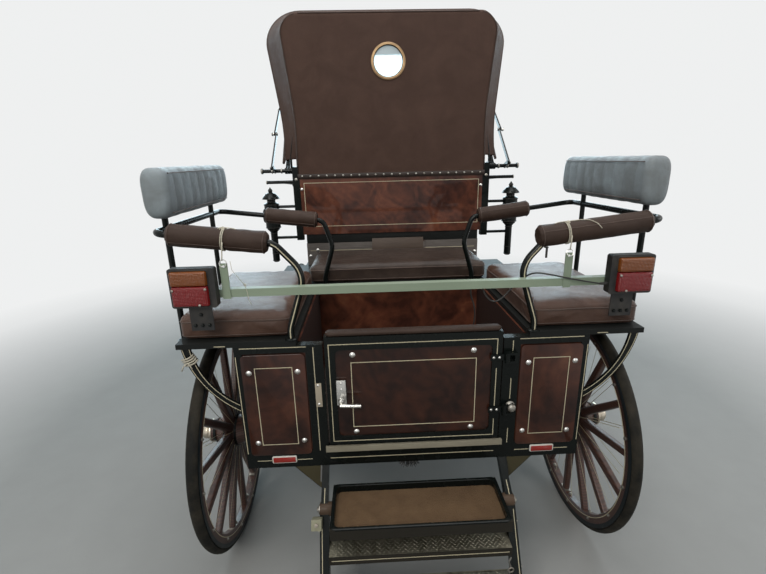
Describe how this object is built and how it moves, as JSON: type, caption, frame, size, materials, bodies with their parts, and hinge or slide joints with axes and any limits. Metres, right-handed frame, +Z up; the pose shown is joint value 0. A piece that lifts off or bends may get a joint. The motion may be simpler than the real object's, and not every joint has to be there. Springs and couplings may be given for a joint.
{
  "type": "horse drawn carriage",
  "caption": "Horse-drawn wagonette with burl panels, side benches, a rear door with a step, a driver's seat under a folding hood, spoked wheels and a turning fore-carriage.",
  "frame": {"origin": "on the ground, under the middle of the overall length and width", "axes": "+Y forward towards the horses, +X to the carriage's right, +Z up"},
  "size_m": [1.744, 2.775, 2.3744],
  "materials": {
    "black_frame": "gloss black paint with cream lines",
    "burl_panel": "polished reddish burl veneer",
    "deck_wood": "varnished brown board",
    "leather": "brown leathercloth, slightly glossy",
    "hood_cloth": "dark brown hood cloth",
    "wheel_wood": "varnished wood",
    "tyre": "worn rubber",
    "irons": "black paint",
    "axle_steel": "black paint",
    "bar_paint": "pale grey-green paint, worn",
    "lamp_black": "black plastic",
    "red_lens": "clear red plastic",
    "lamp_metal": "black japanned metal with bright trim",
    "latch_metal": "worn nickel",
    "strip_metal": "dull beige metal",
    "mat": "brown ribbed mat",
    "rope": "pale twine",
    "window_glass": "clear sheet"
  },
  "bodies": {
    "carriage": {"armrest_rolls": "leather", "backrests": "leather", "bar_ties": "rope", "bench_cushions": "leather", "body_panels": "burl_panel", "cable_gland": "lamp_black", "carriage_lamps": "lamp_metal", "chassis": "black_frame", "dash": "black_frame", "driver_cushions": "leather", "floor": "deck_wood", "light_bar": "bar_paint", "light_cable": "lamp_black", "platform": "deck_wood", "rear_axle": "axle_steel", "rear_lenses": "red_lens", "rear_springs": "axle_steel", "seat_back": "burl_panel", "seat_box": "deck_wood", "seat_deck": "deck_wood", "seat_pan": "deck_wood", "seat_rails": "black_frame", "side_irons": "black_frame", "sill_strip": "strip_metal", "step_frame": "black_frame", "step_mat": "mat", "step_treads": "black_frame", "tail_lamp_housings": "lamp_black", "turntable_top": "black_frame"},
    "fore_carriage": {"fore_frame": "black_frame", "front_axle": "axle_steel", "front_springs": "axle_steel", "splinter_bar": "black_frame"},
    "door": {"door_frame": "black_frame", "door_panel": "burl_panel", "door_top_pad": "leather", "door_latch": "latch_metal"},
    "hood_rear": {"hood_rear_bow": "black_frame", "hood_curtain": "hood_cloth", "hood_window_glass": "window_glass"},
    "hood_mid": {"hood_mid_bow": "black_frame", "hood_cover_rear_mid": "hood_cloth"},
    "hood_front": {"hood_front_bow": "black_frame", "hood_cover_mid_front": "hood_cloth"},
    "brace_foot_links": {"brace_lower": "black_frame"},
    "brace_head_links": {"brace_upper": "black_frame"},
    "left_singletree": {"singletree_left": "wheel_wood"},
    "right_singletree": {"singletree_right": "wheel_wood"},
    "wheel_rear_left": {"rear_left_tyre": "tyre", "rear_left_wheel": "wheel_wood", "rear_left_irons": "irons"},
    "wheel_rear_right": {"rear_right_tyre": "tyre", "rear_right_wheel": "wheel_wood", "rear_right_irons": "irons"},
    "wheel_front_left": {"front_left_tyre": "tyre", "front_left_wheel": "wheel_wood", "front_left_irons": "irons"},
    "wheel_front_right": {"front_right_tyre": "tyre", "front_right_wheel": "wheel_wood", "front_right_irons": "irons"}
  },
  "joints": [
    {"name": "steering", "type": "hinge", "parent": "carriage", "child": "fore_carriage", "pos_m": [0, 0.8025, 0.69], "axis": [0, 0, 1], "range_deg": [-60, 60]},
    {"name": "rear_left_spin", "type": "hinge", "parent": "carriage", "child": "wheel_rear_left", "pos_m": [-0.746, -0.7985, 0.46], "axis": [1, 0, 0], "continuous": true},
    {"name": "rear_right_spin", "type": "hinge", "parent": "carriage", "child": "wheel_rear_right", "pos_m": [0.746, -0.7985, 0.46], "axis": [1, 0, 0], "continuous": true},
    {"name": "front_left_spin", "type": "hinge", "parent": "fore_carriage", "child": "wheel_front_left", "pos_m": [-0.67, 0.8025, 0.4], "axis": [1, 0, 0], "continuous": true},
    {"name": "front_right_spin", "type": "hinge", "parent": "fore_carriage", "child": "wheel_front_right", "pos_m": [0.67, 0.8025, 0.4], "axis": [1, 0, 0], "continuous": true},
    {"name": "door_swing", "type": "hinge", "parent": "carriage", "child": "door", "pos_m": [0.318, -1.1135, 0.7905], "axis": [0, 0, 1], "range_deg": [0, 120]},
    {"name": "hood_fold", "type": "hinge", "parent": "carriage", "child": "hood_rear", "pos_m": [0, 0.0525, 1.51], "axis": [1, 0, 0], "range_deg": [0, 82], "deforming": ["hood_curtain"]},
    {"name": "mid_bow_fold", "type": "hinge", "parent": "hood_rear", "child": "hood_mid", "pos_m": [0, 0.0525, 1.51], "axis": [1, 0, 0], "range_deg": [-0.5, 19.5], "deforming": ["hood_cover_rear_mid"]},
    {"name": "front_bow_fold", "type": "hinge", "parent": "hood_mid", "child": "hood_front", "pos_m": [0, 0.0525, 1.51], "axis": [1, 0, 0], "range_deg": [-0.5, 22.5], "deforming": ["hood_cover_mid_front"]},
    {"name": "brace_foot_turn", "type": "hinge", "parent": "carriage", "child": "brace_foot_links", "pos_m": [0, 0.0025, 1.526], "axis": [1, 0, 0], "range_deg": [-0.5, 156.31]},
    {"name": "brace_head_turn", "type": "hinge", "parent": "hood_front", "child": "brace_head_links", "pos_m": [0, 0.4328, 1.86464], "axis": [1, 0, 0], "range_deg": [-25.87, 0.5]},
    {"name": "left_singletree_swing", "type": "hinge", "parent": "fore_carriage", "child": "left_singletree", "pos_m": [-0.29, 1.3675, 0.665], "axis": [0, 0, 1], "range_deg": [-12, 12]},
    {"name": "right_singletree_swing", "type": "hinge", "parent": "fore_carriage", "child": "right_singletree", "pos_m": [0.29, 1.3675, 0.665], "axis": [0, 0, 1], "range_deg": [-12, 12]}
  ],
  "couplings": [
    {"joint": "mid_bow_fold", "follows": "hood_fold", "ratio": 0.23171},
    {"joint": "front_bow_fold", "follows": "hood_fold", "ratio": 0.26829},
    {"joint": "brace_foot_turn", "follows": "hood_fold", "ratio": 1.9002},
    {"joint": "brace_head_turn", "follows": "hood_fold", "ratio": -0.30936}
  ]
}
